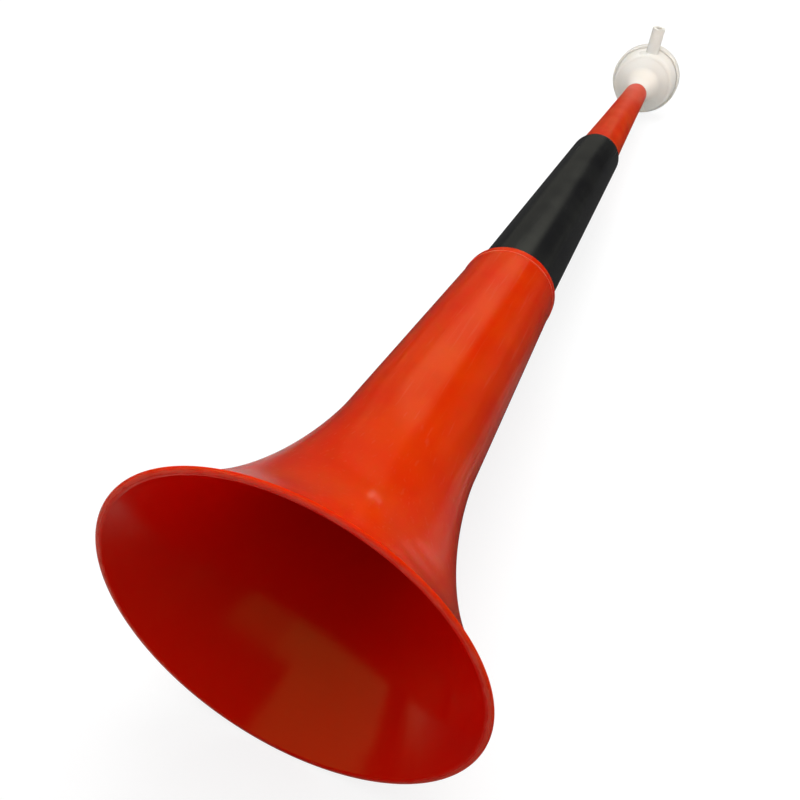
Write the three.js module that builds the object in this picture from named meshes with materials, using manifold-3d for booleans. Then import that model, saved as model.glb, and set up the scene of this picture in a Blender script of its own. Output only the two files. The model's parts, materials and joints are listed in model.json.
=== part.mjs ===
import * as THREE from "three";
import { mergeVertices } from "three/addons/utils/BufferGeometryUtils.js";
import Module from "manifold-3d";

// A collapsible stadium horn, drawn out to its full length and lying on its side.
// Three tapered plastic tubes slide into one another and wedge where they are drawn out.
// At the narrow end a drum holds a thin film, and a side tube blows air in under that film.
// Millimetres, +Z up, bell towards -Y. An outline's points are (radius, distance along the horn).

// Shared by all the pieces.
const facetCount = 48;
const tubeFacetCount = 24;
const roundPointCount = 4;
const runningGap = 0.3;
const cutOverrun = 2;
const weldDistance = 0.0005;

// Bell section: a flare, then a straight taper that ends in a raised collar.
const bellRimRadius = 60;
const bellLength = 202;
const bellWall = 2;
const flareLength = 85;
const flareThroatRadius = 25.9;
const flareHandleLength = 30.5;
const flarePointCount = 13;
const lipThickness = 2.8;
const lipDepth = 0.9;
const lipRound = 0.5;
const collarLength = 5;
const collarHeight = 0.6;
const collarRound = 0.6;

// Middle section.
const middleMouthRadius = 18.5;
const middleReach = 167.5;
const middleSeatLength = 22;
const middleWall = 1.4;
const middleEndRoundLength = 2;
const middleEndRoundDepth = 1.1;

// Top section, drawn in a little between its two ends.
const topMouthRadius = 12.4;
const topReach = 123.5;
const topSeatLength = 20;
const topWall = 1.3;
const topHollow = 0.35;
const topPointCount = 7;
const topEndRound = 0.9;

// Chamfer on the hidden wide end of each sliding tube.
const leadInLength = 1.5;
const leadInDepth = 0.5;

// Mouthpiece: a spigot for the top section, a flaring neck and a drum that is open at the far end.
const spigotRadius = 5.95;
const spigotLength = 16;
const spigotBoreRadius = 4.6;
const spigotChamfer = 0.5;
const neckRadius = 7.3;
const neckLength = 19.5;
const neckHandleLength = 14;
const neckPointCount = 7;
const faceInnerRadius = 11.6;
const faceRise = 3.4;
const faceWall = 1.8;
const drumCornerRadius = 20.4;
const drumCornerRound = 2.4;
const drumRadius = 21.7;
const drumDepth = 19.4;
const drumWall = 1.7;
const chimneyRadius = 7.2;
const chimneyBoreRadius = 5.6;

// Blow tube, square to the drum's side.
const blowTubeRadius = 4.3;
const blowTubeBoreRadius = 3.25;
const blowTubeReach = 37.2;
const blowTubeRootRound = 1;
const blowTubeTipRound = 0.35;

// Film and the ring that clamps it.
const filmThickness = 0.4;
const ringWall = 1.5;
const ringSkirtDepth = 3.6;
const ringLip = 1.6;
const ringOpeningRadius = 17.5;
const ringRound = 0.7;

// Worked out from the sizes above.
const middleEndRadius = topMouthRadius + runningGap + middleWall;
const bellEndRadius = middleMouthRadius + runningGap + bellWall;
const topEndRadius = spigotRadius + runningGap + topWall;
const middleLength = middleSeatLength + middleReach;
const topLength = topSeatLength + topReach;
const bellTaper = (flareThroatRadius - bellEndRadius) / (bellLength - flareLength);
const middleTaper = (middleMouthRadius - middleEndRadius) / middleReach;
const drumEnd = neckLength + drumDepth;
const ringStart = drumEnd - ringSkirtDepth;
const ringRadius = drumRadius + runningGap + ringWall;
const ringDepth = ringSkirtDepth + filmThickness + 2 * runningGap + ringLip;

const palette = {
  red: new THREE.MeshStandardMaterial({ color: 0xd83410, roughness: 0.28, metalness: 0 }),
  black: new THREE.MeshStandardMaterial({ color: 0x232425, roughness: 0.25, metalness: 0 }),
  white: new THREE.MeshStandardMaterial({ color: 0xe9e7df, roughness: 0.35, metalness: 0 }),
  clear: new THREE.MeshStandardMaterial({
    color: 0xe6e9ea,
    roughness: 0.3,
    metalness: 0,
    transparent: true,
    opacity: 0.45,
  }),
};

const wasm = await Module();
wasm.setup();

/** A point of an outline. */
function at(radius, along) {
  return new THREE.Vector2(radius, along);
}

/** Turns a closed outline, given anticlockwise, into a ring-shaped solid with a flat underneath. */
function turnedRing(outline, facets = facetCount) {
  const halfFacet = Math.PI / facets;
  return new THREE.LatheGeometry([...outline, outline[0]], facets, halfFacet);
}

/** Turns an outline that starts and ends on the axis into a solid without a bore. */
function turnedSolid(outline, facets = facetCount) {
  const halfFacet = Math.PI / facets;
  return new THREE.LatheGeometry(outline, facets, halfFacet);
}

/** Quarter ellipse from the first direction to the second, both given as offsets from its centre. */
function quarterRound(centre, first, second) {
  const points = [];
  for (let step = 0; step <= roundPointCount; step += 1) {
    const angle = ((Math.PI / 2) * step) / roundPointCount;
    const point = centre.clone();
    point.addScaledVector(first, Math.cos(angle));
    point.addScaledVector(second, Math.sin(angle));
    points.push(point);
  }
  return points;
}

/** Moves a curve's points square to it, towards the axis side, by the wall's thickness. */
function innerCurve(curve, wall, pointCount) {
  const points = [];
  for (let step = 0; step <= pointCount; step += 1) {
    const share = step / pointCount;
    const tangent = curve.getTangent(share);
    points.push(curve.getPoint(share).add(at(-tangent.y, tangent.x).multiplyScalar(wall)));
  }
  return points;
}

/** The closed solid of a geometry, ready to be joined and cut. */
function solidFrom(geometry) {
  geometry.deleteAttribute("normal");
  geometry.deleteAttribute("uv");
  const merged = mergeVertices(geometry, weldDistance);
  const corners = merged.index.array;
  const triangles = [];
  for (let first = 0; first < corners.length; first += 3) {
    const [a, b, c] = corners.slice(first, first + 3);
    if (a !== b && b !== c && c !== a) {
      triangles.push(a, b, c);
    }
  }
  const mesh = new wasm.Mesh({
    numProp: 3,
    vertProperties: merged.attributes.position.array,
    triVerts: new Uint32Array(triangles),
  });
  return new wasm.Manifold(mesh);
}

/** The geometry of a finished solid. */
function geometryFrom(solid) {
  const mesh = solid.getMesh();
  const geometry = new THREE.BufferGeometry();
  geometry.setAttribute("position", new THREE.BufferAttribute(mesh.vertProperties, 3));
  geometry.setIndex(new THREE.BufferAttribute(mesh.triVerts, 1));
  geometry.computeVertexNormals();
  return geometry;
}

/** A mesh under its own name. */
function piece(name, geometry, material) {
  const mesh = new THREE.Mesh(geometry, material);
  mesh.name = name;
  return mesh;
}

/** The bell section, from its rolled lip to the collar where the middle section comes out. */
function bellSection() {
  const throat = at(flareThroatRadius, flareLength);
  const handleRadius = flareThroatRadius + bellTaper * (flareLength - flareHandleLength);
  const handle = at(handleRadius, flareHandleLength);
  const flare = new THREE.CubicBezierCurve(at(bellRimRadius, lipDepth), handle, throat, throat);
  const flareSteps = flarePointCount - 1;
  const outside = flare.getPoints(flareSteps);
  const liningRadius = bellRimRadius - lipThickness;
  const inside = innerCurve(flare, bellWall, flareSteps).slice(0, flareSteps);
  const lining = inside.filter((point) => point.x < liningRadius);

  const collarStart = bellLength - collarLength;
  const collarStartRadius = bellEndRadius + bellTaper * collarLength;
  const collarRadius = bellEndRadius + collarHeight;
  const outline = [
    ...quarterRound(at(bellRimRadius - lipRound, lipRound), at(0, -lipRound), at(lipRound, 0)),
    ...outside,
    at(collarStartRadius, collarStart),
    at(collarStartRadius + collarHeight, collarStart + collarHeight),
    ...quarterRound(
      at(collarRadius - collarRound, bellLength - collarRound),
      at(collarRound, 0),
      at(0, collarRound),
    ),
    at(bellEndRadius - bellWall, bellLength),
    at(flareThroatRadius - bellWall, flareLength),
    ...lining.reverse(),
    ...quarterRound(at(liningRadius + lipRound, lipRound), at(-lipRound, 0), at(0, -lipRound)),
  ];
  return piece("bell_section", turnedRing(outline), palette.red);
}

/** The middle section. Its wide end is a cone that wedges in the bell section's narrow end. */
function middleSection() {
  const seatRadius = middleMouthRadius + bellTaper * middleSeatLength;
  const outline = [
    at(seatRadius - leadInDepth, 0),
    at(seatRadius - bellTaper * leadInLength, leadInLength),
    at(middleMouthRadius, middleSeatLength),
    at(middleEndRadius + middleTaper * middleEndRoundLength, middleLength - middleEndRoundLength),
    ...quarterRound(
      at(middleEndRadius - middleEndRoundDepth, middleLength - middleEndRoundLength),
      at(middleEndRoundDepth, 0),
      at(0, middleEndRoundLength),
    ).slice(1),
    at(middleEndRadius - middleWall, middleLength),
    at(middleMouthRadius - middleWall, middleSeatLength),
    at(seatRadius - middleWall, 0),
  ];
  return piece("middle_section", turnedRing(outline), palette.black);
}

/** The top section, wedged in the middle section in the same way, with a rounded small end. */
function topSection() {
  const seatRadius = topMouthRadius + middleTaper * topSeatLength;
  const halfway = (topMouthRadius + topEndRadius) / 2 - topHollow;
  const outer = new THREE.QuadraticBezierCurve(
    at(topMouthRadius, topSeatLength),
    at(halfway, topSeatLength + topReach / 2),
    at(topEndRadius, topLength - topEndRound),
  );
  const outside = outer.getPoints(topPointCount - 1);
  const inside = outside.map((point) => at(point.x - topWall, point.y));
  const outline = [
    at(seatRadius - leadInDepth, 0),
    at(seatRadius - middleTaper * leadInLength, leadInLength),
    ...outside,
    ...quarterRound(
      at(topEndRadius - topEndRound, topLength - topEndRound),
      at(topEndRound, 0),
      at(0, topEndRound),
    ).slice(1),
    at(topEndRadius - topWall, topLength),
    ...inside.reverse(),
    at(seatRadius - topWall, 0),
  ];
  return piece("top_section", turnedRing(outline), palette.red);
}

/** The outside of the mouthpiece without its blow tube, solid right through. */
function mouthpieceOutside() {
  const spigotEnd = -runningGap - spigotLength;
  const faceEnd = neckLength + faceRise;
  const neck = new THREE.QuadraticBezierCurve(
    at(neckRadius, 0),
    at(neckRadius, neckHandleLength),
    at(faceInnerRadius, neckLength),
  );
  const cornerCentre = at(drumCornerRadius - drumCornerRound, faceEnd + drumCornerRound);
  const outline = [
    at(0, spigotEnd),
    at(spigotRadius - spigotChamfer, spigotEnd),
    at(spigotRadius, spigotEnd + spigotChamfer),
    at(spigotRadius, 0),
    ...neck.getPoints(neckPointCount - 1),
    ...quarterRound(cornerCentre, at(0, -drumCornerRound), at(drumCornerRound, 0)),
    at(drumRadius, ringStart - runningGap),
    at(drumRadius, drumEnd),
    at(0, drumEnd),
  ];
  return solidFrom(turnedSolid(outline));
}

/** The ring-shaped air space round the chimney, open towards the film. */
function airChamber() {
  const floor = neckLength + faceWall;
  const wallFloor = floor + faceRise;
  const outline = [
    at(chimneyRadius, floor),
    at(faceInnerRadius, floor),
    at(drumCornerRadius - drumWall, wallFloor),
    at(drumRadius - drumWall, ringStart),
    at(drumRadius - drumWall, drumEnd + cutOverrun),
    at(chimneyRadius, drumEnd + cutOverrun),
  ];
  return solidFrom(turnedRing(outline));
}

/** The way from the film down through the chimney, the neck and the spigot. */
function airPassage() {
  const start = -runningGap - spigotLength;
  const outline = [
    at(0, start - cutOverrun),
    at(spigotBoreRadius, start - cutOverrun),
    at(spigotBoreRadius, 0),
    at(chimneyBoreRadius, neckLength),
    at(chimneyBoreRadius, drumEnd + cutOverrun),
    at(0, drumEnd + cutOverrun),
  ];
  return solidFrom(turnedSolid(outline));
}

/** A shape of the blow tube, turned up to stand square to the horn at the middle of the drum's side. */
function stoodOnDrum(geometry) {
  const sideStart = neckLength + faceRise + drumCornerRound;
  const sideMiddle = (sideStart + ringStart) / 2;
  geometry.rotateX(Math.PI / 2);
  geometry.translate(0, sideMiddle, 0);
  return solidFrom(geometry);
}

/** The blow tube's outside, from inside the air chamber to its tip. */
function blowTubeOutside() {
  const root = drumCornerRadius;
  const outline = [
    at(0, root - drumWall - cutOverrun),
    at(blowTubeRadius + blowTubeRootRound, root - drumWall - cutOverrun),
    at(blowTubeRadius + blowTubeRootRound, root),
    ...quarterRound(
      at(blowTubeRadius + blowTubeRootRound, root + blowTubeRootRound),
      at(0, -blowTubeRootRound),
      at(-blowTubeRootRound, 0),
    ).slice(1),
    ...quarterRound(
      at(blowTubeRadius - blowTubeTipRound, blowTubeReach - blowTubeTipRound),
      at(blowTubeTipRound, 0),
      at(0, blowTubeTipRound),
    ),
    at(0, blowTubeReach),
  ];
  return stoodOnDrum(turnedSolid(outline, tubeFacetCount));
}

/** The blow tube's bore, from the air chamber out through the tip. */
function blowTubeBore() {
  const chamberMiddle = (chimneyRadius + drumCornerRadius) / 2;
  const outline = [
    at(0, chamberMiddle),
    at(blowTubeBoreRadius, chamberMiddle),
    at(blowTubeBoreRadius, blowTubeReach + cutOverrun),
    at(0, blowTubeReach + cutOverrun),
  ];
  return stoodOnDrum(turnedSolid(outline, tubeFacetCount));
}

/** The mouthpiece's one moulding: spigot, neck, drum, chimney and blow tube. */
function mouthpieceBody() {
  const body = mouthpieceOutside()
    .add(blowTubeOutside())
    .subtract(airChamber())
    .subtract(airPassage())
    .subtract(blowTubeBore());
  return piece("mouthpiece_body", geometryFrom(body), palette.white);
}

/** The film that lies across the chimney and the drum's rim. */
function membrane() {
  const outline = [
    at(0, 0),
    at(drumRadius, 0),
    at(drumRadius, filmThickness),
    at(0, filmThickness),
  ];
  return piece("membrane", turnedSolid(outline), palette.clear);
}

/** The snap ring: a skirt round the drum and a lip over the film's edge. */
function clampRing() {
  const skirtRadius = drumRadius + runningGap;
  const outline = [
    at(skirtRadius, 0),
    ...quarterRound(at(ringRadius - ringRound, ringRound), at(0, -ringRound), at(ringRound, 0)),
    ...quarterRound(
      at(ringRadius - ringRound, ringDepth - ringRound),
      at(ringRound, 0),
      at(0, ringRound),
    ),
    at(ringOpeningRadius, ringDepth),
    at(ringOpeningRadius, ringDepth - ringLip),
    at(skirtRadius, ringDepth - ringLip),
  ];
  return piece("clamp_ring", turnedRing(outline), palette.white);
}

/** Pieces that move as one, placed along the piece that carries them. */
function carried(along, ...pieces) {
  const group = new THREE.Group();
  group.add(...pieces);
  group.position.y = along;
  return group;
}

/** The horn drawn out along +Y: each section is carried by the one that it slides in. */
function drawnOutHorn() {
  const film = carried(drumEnd + runningGap, membrane());
  const ring = carried(ringStart, clampRing());
  const mouthpiece = carried(topLength + runningGap, mouthpieceBody(), film, ring);
  const top = carried(middleLength - topSeatLength, topSection(), mouthpiece);
  const middle = carried(bellLength - middleSeatLength, middleSection(), top);
  return carried(0, bellSection(), middle);
}

/** Lays the horn on its rim and its clamp ring, with the middle of its footprint at the origin. */
function laidDown(horn) {
  const ringFarEnd = bellLength + middleReach + topReach + runningGap + ringStart + ringDepth;
  const drop = (bellRimRadius - ringRadius) * Math.cos(Math.PI / facetCount);
  const span = ringFarEnd - ringRound - lipDepth;
  horn.rotation.x = -Math.atan2(drop, span);
  horn.updateMatrixWorld(true);
  const box = new THREE.Box3().setFromObject(horn, true);
  const centre = box.getCenter(new THREE.Vector3());
  horn.position.set(-centre.x, -centre.y, -box.min.z);
  return horn;
}

const stadiumHorn = new THREE.Group();
stadiumHorn.add(laidDown(drawnOutHorn()));

export default stadiumHorn;
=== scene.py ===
"""Looks of a collapsible stadium horn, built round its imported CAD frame.

Every piece is turned about the horn's axis or stands square to it, so its outline is written in
millimetres from the axis and along the horn, turned by Geometry Nodes, and then laid where the
frame's own joints say that the horn lies.
"""

import json
import logging
import math
from dataclasses import dataclass, replace
from enum import Enum

import bmesh
import bpy
from mathutils import Matrix, Vector


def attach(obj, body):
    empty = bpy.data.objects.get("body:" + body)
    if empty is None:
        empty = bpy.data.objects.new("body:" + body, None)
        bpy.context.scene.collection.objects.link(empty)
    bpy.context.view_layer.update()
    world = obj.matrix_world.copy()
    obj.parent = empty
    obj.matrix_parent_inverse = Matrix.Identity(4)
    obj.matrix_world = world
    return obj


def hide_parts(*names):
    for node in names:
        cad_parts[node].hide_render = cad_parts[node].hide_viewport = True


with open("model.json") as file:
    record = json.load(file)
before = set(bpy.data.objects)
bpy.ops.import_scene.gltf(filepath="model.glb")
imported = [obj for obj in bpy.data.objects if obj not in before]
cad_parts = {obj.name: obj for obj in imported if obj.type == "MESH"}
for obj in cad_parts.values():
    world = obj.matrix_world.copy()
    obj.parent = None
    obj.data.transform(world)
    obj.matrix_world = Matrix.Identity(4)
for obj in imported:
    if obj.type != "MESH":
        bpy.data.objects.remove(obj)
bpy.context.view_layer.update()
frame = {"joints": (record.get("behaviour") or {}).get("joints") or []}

MM = 0.001
CAD_FACETS = 48
FLAT_SHARE = math.cos(math.pi / CAD_FACETS)
QUARTER = math.pi / 2
WELD_DISTANCE = 0.002 * MM
PLASTIC_IOR = 1.5

# Where the upper sub-assemblies start on the drawn-out horn, in millimetres from the rim's plane.
MIDDLE_START = 180.0
TOP_START = 349.5
MOUTHPIECE_START = 493.3

log = logging.getLogger("stadium_horn")

OutlinePoint = tuple[float, float]
Corner = tuple[float, float, float]
Triple = tuple[float, float, float]
Socket = bpy.types.NodeSocket
Level = bpy.types.NodeSocket | float


class Body(Enum):
    """The CAD bodies that a piece may ride on."""

    BELL = "bell"
    MIDDLE = "middle"
    TOP = "top"
    MOUTHPIECE = "mouthpiece"


class Slot(Enum):
    """The record's material slots."""

    RED = "red_plastic"
    BLACK = "black_plastic"
    WHITE = "white_plastic"
    FILM = "clear_film"


@dataclass(frozen=True)
class HornLie:
    """Where the horn's axis lies in the row frame, taken from the swivel joint.

    Attributes:
        rim_centre: Middle of the bell's rim, in metres.
        along: Unit vector from the bell towards the mouthpiece.
    """

    rim_centre: Vector
    along: Vector

    @classmethod
    def from_joints(cls, joints: list[dict], swivel_distance: float) -> "HornLie":
        """Reads the lie off the mouthpiece's swivel.

        Args:
            joints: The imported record's joints.
            swivel_distance: Distance from the rim's plane to the swivel, in millimetres.

        Returns:
            The horn's lie.
        """
        swivel = next(joint for joint in joints if joint["type"] == "hinge")
        along = Vector(swivel["axis"]).normalized()
        return cls(Vector(swivel["pos_m"]) - along * swivel_distance * MM, along)

    def placed(self, distance: float) -> Matrix:
        """Gives the placing of a piece whose own origin is on the axis.

        Args:
            distance: Distance of that origin from the rim's plane, in millimetres.

        Returns:
            Matrix from the piece's space (x aside, y along, z up) to the row frame.
        """
        aside = Vector((1.0, 0.0, 0.0))
        up = aside.cross(self.along)
        turn = Matrix((aside, self.along, up)).transposed().to_4x4()
        return Matrix.Translation(self.rim_centre + self.along * distance * MM) @ turn


# Outlines

ARC_STEPS = 8
SIDE_SHARE = 0.49
STRAIGHT_ENOUGH = math.pi - 0.01
HOLD_STEP = 0.12
HELD_FROM = 6 * HOLD_STEP
NO_STEP = 1e-7


def outlined(corners: list[Corner], closed: bool = True, longest: float = 2.5) -> list[OutlinePoint]:
    """Rounds an outline's corners and divides its long steps.

    Args:
        corners: Radius, distance along and rounding of each corner, in millimetres.
        closed: Whether the last corner joins the first.
        longest: Longest straight step that is left.

    Returns:
        The outline's points.
    """
    count = len(corners)
    rounded: list[OutlinePoint] = []
    for index, (radius, along, rounding) in enumerate(corners):
        if rounding <= 0 or (not closed and index in (0, count - 1)):
            rounded.append((radius, along))
            continue
        before, after = corners[index - 1], corners[(index + 1) % count]
        rounded.extend(arc(Vector(before[:2]), Vector((radius, along)), Vector(after[:2]), rounding))
    if closed:
        rounded.append(rounded[0])
    return stepped(rounded, longest)


def arc(before: Vector, here: Vector, after: Vector, rounding: float) -> list[OutlinePoint]:
    """Rounds one corner with an arc that meets both sides smoothly.

    Args:
        before: The corner before it.
        here: The corner itself.
        after: The corner after it.
        rounding: Radius of the arc.

    Returns:
        The arc's points.
    """
    first = (before - here).normalized()
    second = (after - here).normalized()
    turn = first.angle(second)
    if turn > STRAIGHT_ENOUGH:
        return [tuple(here)]
    room = SIDE_SHARE * min((before - here).length, (after - here).length)
    reach = min(rounding / math.tan(turn / 2), room)
    fitted = reach * math.tan(turn / 2)
    centre = here + (first + second).normalized() * (fitted / math.sin(turn / 2))
    start = here + first * reach - centre
    end = here + second * reach - centre
    sweep = math.atan2(start.x * end.y - start.y * end.x, start.dot(end))
    points = []
    for step in range(ARC_STEPS + 1):
        angle = sweep * step / ARC_STEPS
        cosine, sine = math.cos(angle), math.sin(angle)
        radius = centre.x + start.x * cosine - start.y * sine
        points.append((radius, centre.y + start.x * sine + start.y * cosine))
    return points


def stepped(points: list[OutlinePoint], longest: float) -> list[OutlinePoint]:
    """Divides long straight steps, with a short step next to each end to hold the shading.

    Args:
        points: The rounded outline.
        longest: Longest straight step that is left.

    Returns:
        The divided outline.
    """
    divided = [points[0]]
    for (r0, s0), (r1, s1) in zip(points[:-1], points[1:]):
        length = math.hypot(r1 - r0, s1 - s0)
        shares = [1.0]
        if length > HELD_FROM:
            count = math.ceil(length / longest)
            shares += [HOLD_STEP / length, 1 - HOLD_STEP / length]
            shares += [step / count for step in range(1, count)]
        if length > NO_STEP:
            divided.extend((r0 + (r1 - r0) * share, s0 + (s1 - s0) * share) for share in sorted(shares))
    return divided


def bezier(handles: list[OutlinePoint], steps: int) -> list[OutlinePoint]:
    """Points of a Bezier curve of any order.

    Args:
        handles: Start, handles and end.
        steps: Steps along it.

    Returns:
        One point more than there are steps.
    """
    order = len(handles) - 1
    points = []
    for step in range(steps + 1):
        share = step / steps
        weights = [
            math.comb(order, index) * share**index * (1 - share) ** (order - index)
            for index in range(order + 1)
        ]
        sums = (sum(weight * part for weight, part in zip(weights, parts)) for parts in zip(*handles))
        points.append(tuple(sums))
    return points


def walled(points: list[OutlinePoint], wall: float) -> list[OutlinePoint]:
    """Moves a curve's points square to it, towards the axis.

    Args:
        points: Points in the order of growing distance along.
        wall: How far they move.

    Returns:
        The moved points.
    """
    moved = []
    for index, (radius, along) in enumerate(points):
        before = Vector(points[max(index - 1, 0)])
        after = Vector(points[min(index + 1, len(points) - 1)])
        tangent = (after - before).normalized()
        moved.append((radius - tangent.y * wall, along + tangent.x * wall))
    return moved


def quarter(centre: OutlinePoint, first: OutlinePoint, second: OutlinePoint, steps: int = 8) -> list[Corner]:
    """A quarter ellipse as corners that need no rounding.

    Args:
        centre: Its centre.
        first: Offset of its start from the centre.
        second: Offset of its end from the centre.
        steps: Steps along it.

    Returns:
        The corners.
    """
    corners = []
    for step in range(steps + 1):
        angle = QUARTER * step / steps
        cosine, sine = math.cos(angle), math.sin(angle)
        radius, along = (c + f * cosine + s * sine for c, f, s in zip(centre, first, second))
        corners.append((radius, along, 0.0))
    return corners


def plainly(points: list[OutlinePoint]) -> list[Corner]:
    """Makes a curve's points corners that need no rounding."""
    return [(radius, along, 0.0) for radius, along in points]


def wear_near(points: list[OutlinePoint], places: list[tuple[float, float, float]]) -> list[float]:
    """Says how rubbed each outline point is from how near it is to some exposed edges.

    Args:
        points: The outline.
        places: Radius, distance along and reach of each exposed edge.

    Returns:
        A number from 0 to 1 for each point.
    """
    worn = []
    for radius, along in points:
        shares = [1 - math.hypot(radius - edge, along - place) / reach for edge, place, reach in places]
        worn.append(max(0.0, *shares))
    return worn


def lined_from(points: list[OutlinePoint], corner: OutlinePoint) -> list[float]:
    """Marks the part of an outline that is the inside of a wall.

    Args:
        points: The outline, which runs up the outside first.
        corner: Where the inside starts.

    Returns:
        0 for each point before the corner, and 1 from it on.
    """
    start = min(range(len(points)), key=lambda index: math.dist(points[index], corner))
    return [float(index >= start) for index in range(len(points))]


# Node trees


class Wiring:
    """Adds nodes with their values and links to one tree."""

    def __init__(self, tree: bpy.types.NodeTree) -> None:
        """Takes the tree."""
        self.tree = tree

    @classmethod
    def emptied(cls, owner: bpy.types.Material | bpy.types.World) -> "Wiring":
        """Opens the tree of a material or a world, with nothing in it.

        Args:
            owner: The material or world.

        Returns:
            The wiring of its tree.
        """
        owner.use_nodes = True
        owner.node_tree.nodes.clear()
        return cls(owner.node_tree)

    def node(self, kind: str, links: dict | None = None, **values: object) -> bpy.types.Node:
        """Adds a node.

        Args:
            kind: Its type.
            links: Socket or value for each of its inputs, by name or number.
            values: Its properties.

        Returns:
            The node.
        """
        node = self.tree.nodes.new(kind)
        for name, value in values.items():
            setattr(node, name, value)
        for key, value in (links or {}).items():
            if isinstance(value, Socket):
                self.tree.links.new(value, node.inputs[key])
            else:
                node.inputs[key].default_value = value
        return node

    def math(self, operation: str, *parts: Level) -> Socket:
        """Adds a Math node and gives its result."""
        return self.node("ShaderNodeMath", dict(enumerate(parts)), operation=operation).outputs[0]

    def graded(self, value: Socket, given: tuple, made: tuple, kind: str = "LINEAR") -> Socket:
        """Maps a value from one range to another.

        Args:
            value: The value.
            given: The range that it has.
            made: The range that it gets.
            kind: LINEAR or SMOOTHSTEP.

        Returns:
            The result.
        """
        ends = dict(zip(("From Min", "From Max", "To Min", "To Max"), (*given, *made)))
        return self.node("ShaderNodeMapRange", {"Value": value, **ends}, interpolation_type=kind).outputs[0]

    def mixed(self, share: Socket, first: Socket | tuple, second: Socket | tuple) -> Socket:
        """Mixes two colours and gives the result."""
        return self.node("ShaderNodeMix", {0: share, 6: first, 7: second}, data_type="RGBA").outputs[2]

    def noise(self, vector: Socket, scale: Level, detail: float, roughness: float = 0.5) -> Socket:
        """Adds a noise and gives its value."""
        links = {"Vector": vector, "Scale": scale, "Detail": detail, "Roughness": roughness}
        return self.node("ShaderNodeTexNoise", links).outputs["Fac"]

    def mark(self, name: str) -> Socket:
        """Reads a mark that the turning has stored."""
        return self.node("ShaderNodeAttribute", attribute_name=name).outputs["Fac"]

    def group(self, group: bpy.types.NodeTree, links: dict) -> bpy.types.bpy_prop_collection:
        """Places a shared group and gives its outputs."""
        return self.node("ShaderNodeGroup", links, node_tree=group).outputs

    def surface(self, links: dict) -> None:
        """Ends a plastic's tree with its shader."""
        shader = self.node("ShaderNodeBsdfPrincipled", {"IOR": PLASTIC_IOR, **links})
        self.node("ShaderNodeOutputMaterial", {"Surface": shader.outputs[0]})


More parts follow.
